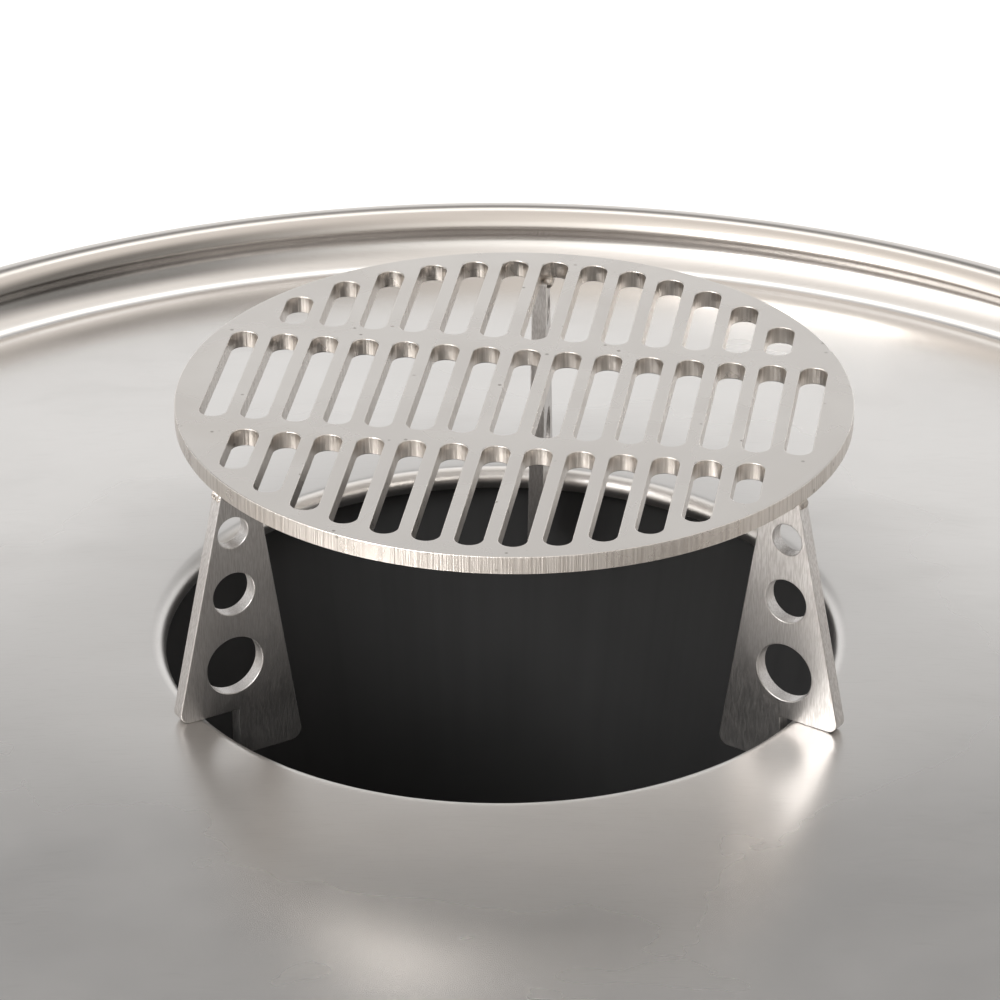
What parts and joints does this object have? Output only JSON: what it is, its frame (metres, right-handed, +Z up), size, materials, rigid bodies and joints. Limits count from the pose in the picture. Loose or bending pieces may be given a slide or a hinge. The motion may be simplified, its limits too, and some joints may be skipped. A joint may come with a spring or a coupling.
{
  "type": "portable tabletop grill",
  "caption": "Round tabletop charcoal grill: wide stainless griddle plate with a central fire opening and a raised slotted grate on three legs.",
  "frame": {"origin": "on the table, under the centre of the fire opening", "axes": "+Z up; -Y towards the user, where the ash drawer pulls out; +X to the user's right, where the vent lever is"},
  "size_m": [0.6748, 0.6747, 0.3005],
  "materials": {
    "plate_steel": "satin stainless sheet",
    "grate_steel": "satin stainless plate, laser-cut edges",
    "leg_steel": "brushed stainless plate, grain along the leg",
    "weld_bead": "bare weld bead",
    "black_weld": "painted weld bead",
    "black_enamel": "gloss black enamel",
    "black_housing": "satin black heat-proof paint",
    "cast_iron": "matt",
    "trim_steel": "satin",
    "sheet_steel": "dull sheet steel",
    "grip_black": "matt phenolic",
    "foot_rubber": "matt"
  },
  "bodies": {
    "stand": {"housing_shell": "black_housing", "housing_floor": "black_housing", "support_ring": "black_housing", "arm_back": "leg_steel", "arm_left": "leg_steel", "arm_right": "leg_steel", "arm_welds": "black_weld", "foot_back": "trim_steel", "foot_left": "trim_steel", "foot_right": "trim_steel", "pad_back": "foot_rubber", "pad_left": "foot_rubber", "pad_right": "foot_rubber", "foot_screws": "trim_steel", "handle_bar_left": "trim_steel", "handle_bar_right": "trim_steel", "handle_grip_left": "grip_black", "handle_grip_right": "grip_black", "handle_bosses_left": "trim_steel", "handle_bosses_right": "trim_steel", "pan_rail_left": "sheet_steel", "pan_rail_right": "sheet_steel", "vent_rivet": "trim_steel"},
    "fire_pot": {"fire_pot": "black_enamel"},
    "charcoal_grate": {"charcoal_grate": "cast_iron"},
    "griddle": {"griddle_plate": "plate_steel"},
    "cooking_grate": {"grate_disc": "grate_steel", "leg_back": "leg_steel", "leg_left": "leg_steel", "leg_right": "leg_steel", "leg_welds": "weld_bead"},
    "ash_drawer": {"ash_pan": "sheet_steel", "ash_pan_front": "black_housing", "ash_pan_pull": "trim_steel"},
    "vent": {"vent_shutter": "sheet_steel", "vent_knob": "grip_black"}
  },
  "joints": [
    {"name": "pot_lift", "type": "slide", "parent": "stand", "child": "fire_pot", "axis": [0, 0, 1], "range_m": [0, 0.2]},
    {"name": "charcoal_grate_lift", "type": "slide", "parent": "fire_pot", "child": "charcoal_grate", "axis": [0, 0, 1], "range_m": [0, 0.1]},
    {"name": "griddle_lift", "type": "slide", "parent": "fire_pot", "child": "griddle", "axis": [0, 0, 1], "range_m": [0, 0.15]},
    {"name": "grate_lift", "type": "slide", "parent": "griddle", "child": "cooking_grate", "axis": [0, 0, 1], "range_m": [0, 0.15]},
    {"name": "ash_drawer_slide", "type": "slide", "parent": "stand", "child": "ash_drawer", "axis": [0, -1, 0], "range_m": [0, 0.18]},
    {"name": "vent_turn", "type": "hinge", "parent": "stand", "child": "vent", "pos_m": [0, 0, 0.029], "axis": [0, 0, 1], "range_deg": [0, 30]}
  ]
}
